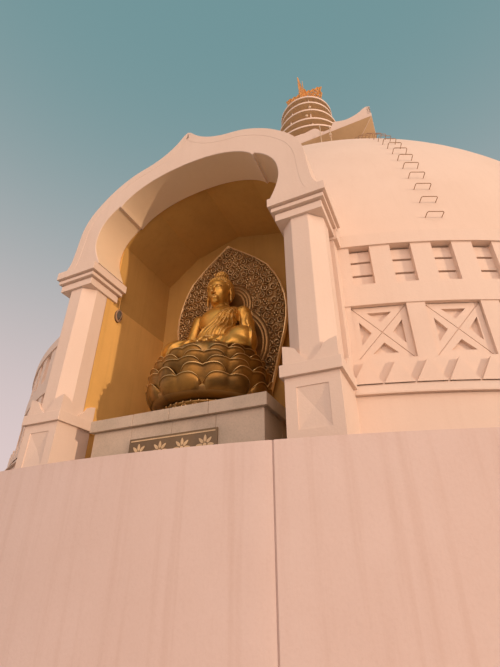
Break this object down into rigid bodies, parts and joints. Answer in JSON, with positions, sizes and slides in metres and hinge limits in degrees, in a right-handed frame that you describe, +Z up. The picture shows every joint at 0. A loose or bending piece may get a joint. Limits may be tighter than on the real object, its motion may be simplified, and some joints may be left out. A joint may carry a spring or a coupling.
{
  "type": "domed stupa",
  "caption": "Round white stupa: parapet terrace, panelled drum, dome, arched niches with seated gilded figures, flared square top and ringed spire.",
  "frame": {"origin": "on the dome's axis at ground level", "axes": "+Z up along the dome's axis, -Y towards the front niche, +X to the right seen from the front"},
  "size_m": [24.7, 24.7, 29.9],
  "materials": {
    "painted_render": "matte off-white paint on cement render",
    "plinth_stone": "honed grey stone slabs",
    "gilded_bronze": "aged gilding on cast bronze",
    "bright_gilding": "bright gilding on sheet metal"
  },
  "bodies": {
    "root": {"terrace_podium": "painted_render", "terrace_wall_front": "painted_render", "terrace_wall_right": "painted_render", "terrace_wall_back": "painted_render", "terrace_wall_left": "painted_render", "drum_front_right": "painted_render", "dome_haunch_front_right": "painted_render", "drum_back_right": "painted_render", "dome_haunch_back_right": "painted_render", "drum_back_left": "painted_render", "dome_haunch_back_left": "painted_render", "drum_front_left": "painted_render", "dome_haunch_front_left": "painted_render", "dome_crown": "painted_render", "masonry_core": "painted_render", "harmika_block": "painted_render", "harmika_cornice": "painted_render", "spire": "painted_render", "gilded_finial": "bright_gilding", "front_column_left": "painted_render", "front_column_right": "painted_render", "front_arch": "painted_render", "front_vault": "painted_render", "front_plinth": "plinth_stone", "front_lotus_throne": "gilded_bronze", "front_seated_figure": "gilded_bronze", "front_halo": "gilded_bronze", "right_column_left": "painted_render", "right_column_right": "painted_render", "right_arch": "painted_render", "right_vault": "painted_render", "right_plinth": "plinth_stone", "right_lotus_throne": "gilded_bronze", "right_seated_figure": "gilded_bronze", "right_halo": "gilded_bronze", "back_column_left": "painted_render", "back_column_right": "painted_render", "back_arch": "painted_render", "back_vault": "painted_render", "back_plinth": "plinth_stone", "back_lotus_throne": "gilded_bronze", "back_seated_figure": "gilded_bronze", "back_halo": "gilded_bronze", "left_column_left": "painted_render", "left_column_right": "painted_render", "left_arch": "painted_render", "left_vault": "painted_render", "left_plinth": "plinth_stone", "left_lotus_throne": "gilded_bronze", "left_seated_figure": "gilded_bronze", "left_halo": "gilded_bronze"}
  },
  "joints": []
}
